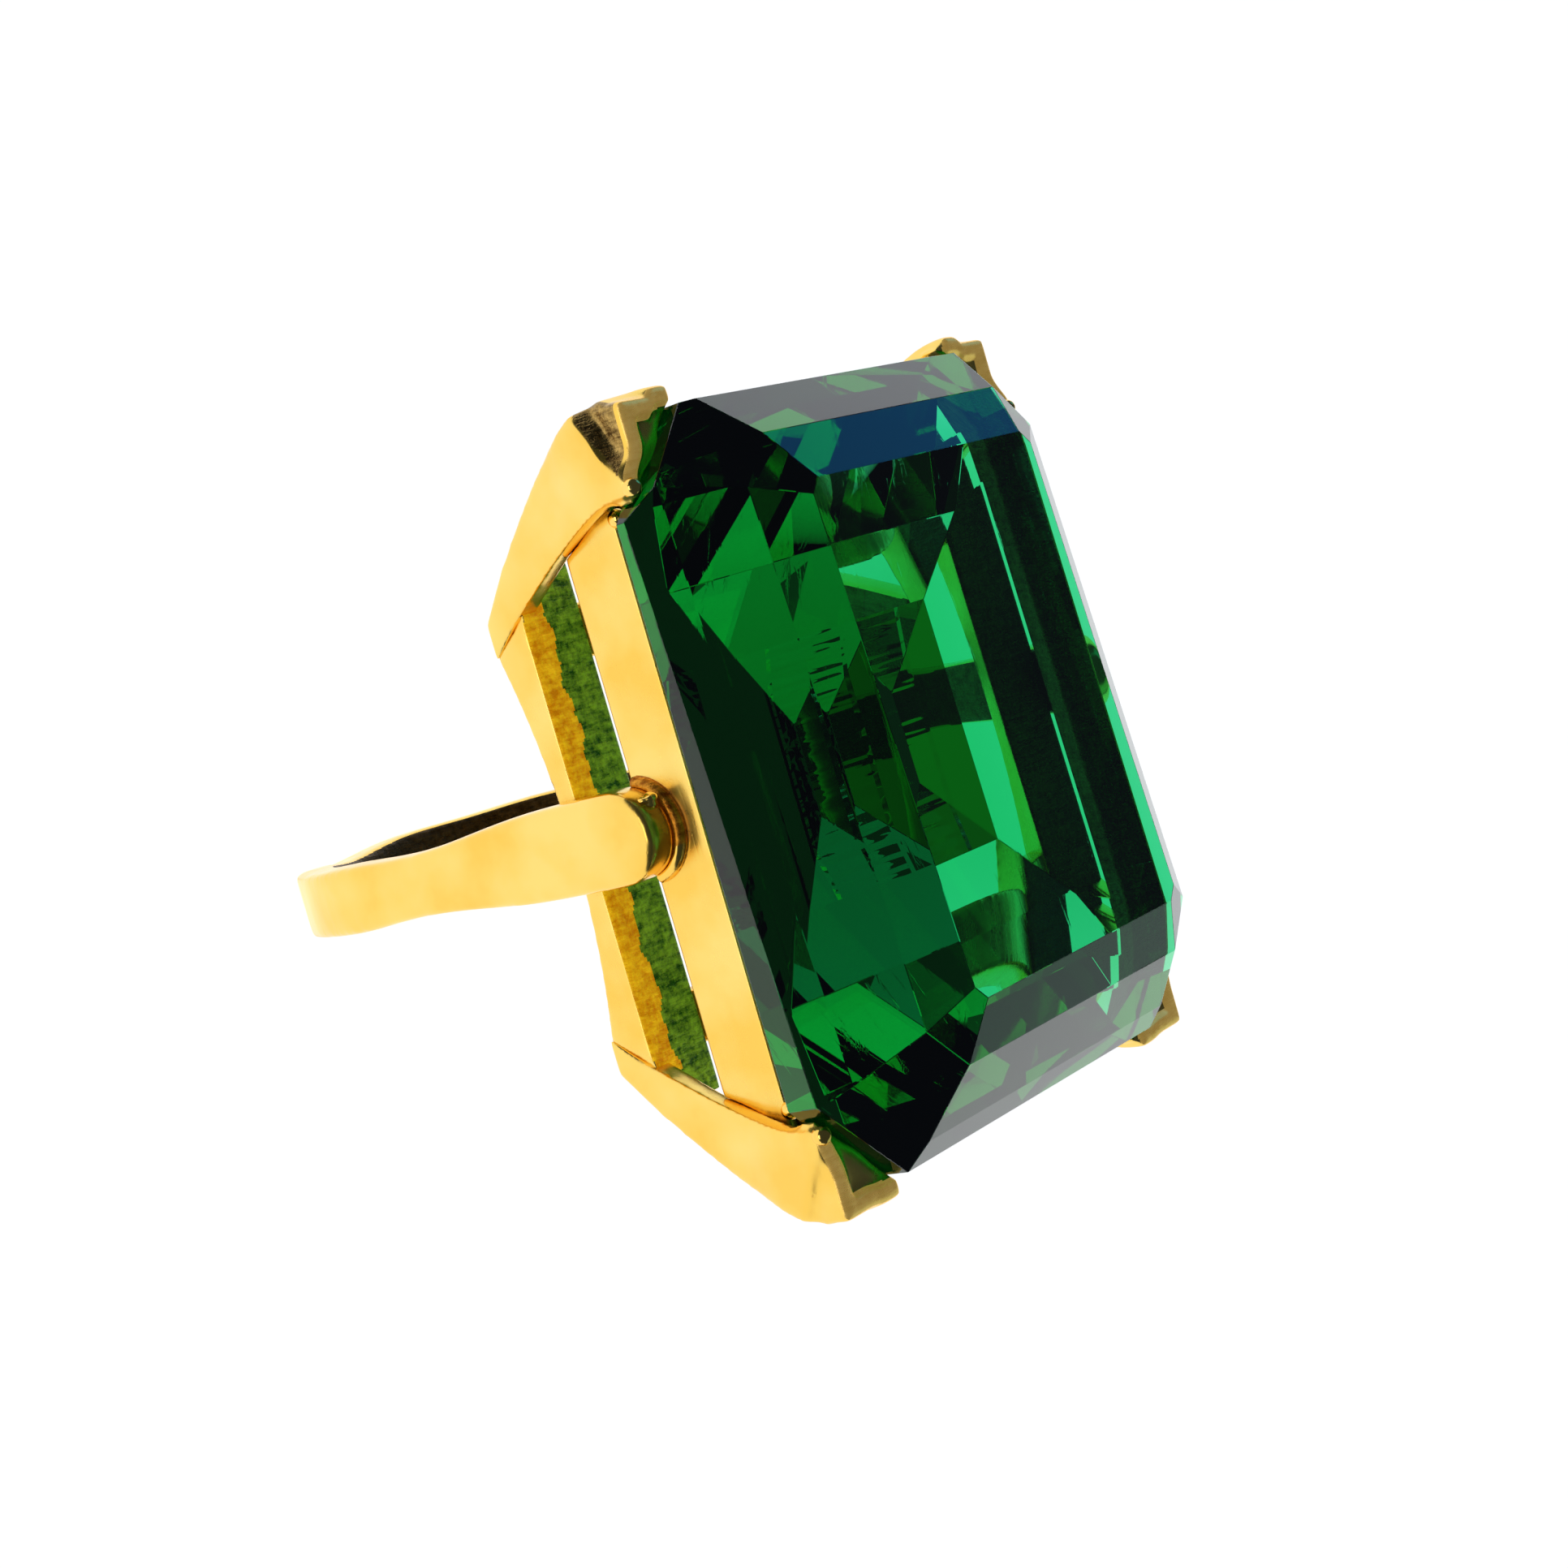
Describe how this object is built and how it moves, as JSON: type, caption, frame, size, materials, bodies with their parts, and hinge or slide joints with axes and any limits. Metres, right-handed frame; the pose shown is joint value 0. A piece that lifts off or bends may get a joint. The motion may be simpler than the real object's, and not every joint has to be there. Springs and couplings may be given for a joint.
{
  "type": "cocktail ring",
  "caption": "Large cocktail ring: a step-cut green stone in corner claws on an open gold-coloured basket, with a slim soldered finger band.",
  "frame": {"origin": "centre of the round of the finger opening", "axes": "+Z from the finger to the stone's table, Y along the finger, X across it"},
  "size_m": [0.02, 0.0242, 0.0281],
  "materials": {
    "gold": "polished gold plating",
    "gold_solder": "bright solder in the colour of the gold",
    "green_stone": "polished deep green glass"
  },
  "bodies": {
    "root": {"stone": "green_stone", "claw_front_left": "gold", "claw_front_right": "gold", "claw_back_left": "gold", "claw_back_right": "gold", "gallery_side_left": "gold", "gallery_side_right": "gold", "gallery_end_front": "gold", "gallery_end_back": "gold", "base_side_left": "gold", "base_side_right": "gold", "base_end_front": "gold", "base_end_back": "gold", "shank": "gold", "solder_left": "gold_solder", "solder_right": "gold_solder", "solder_beads": "gold_solder"}
  },
  "joints": []
}
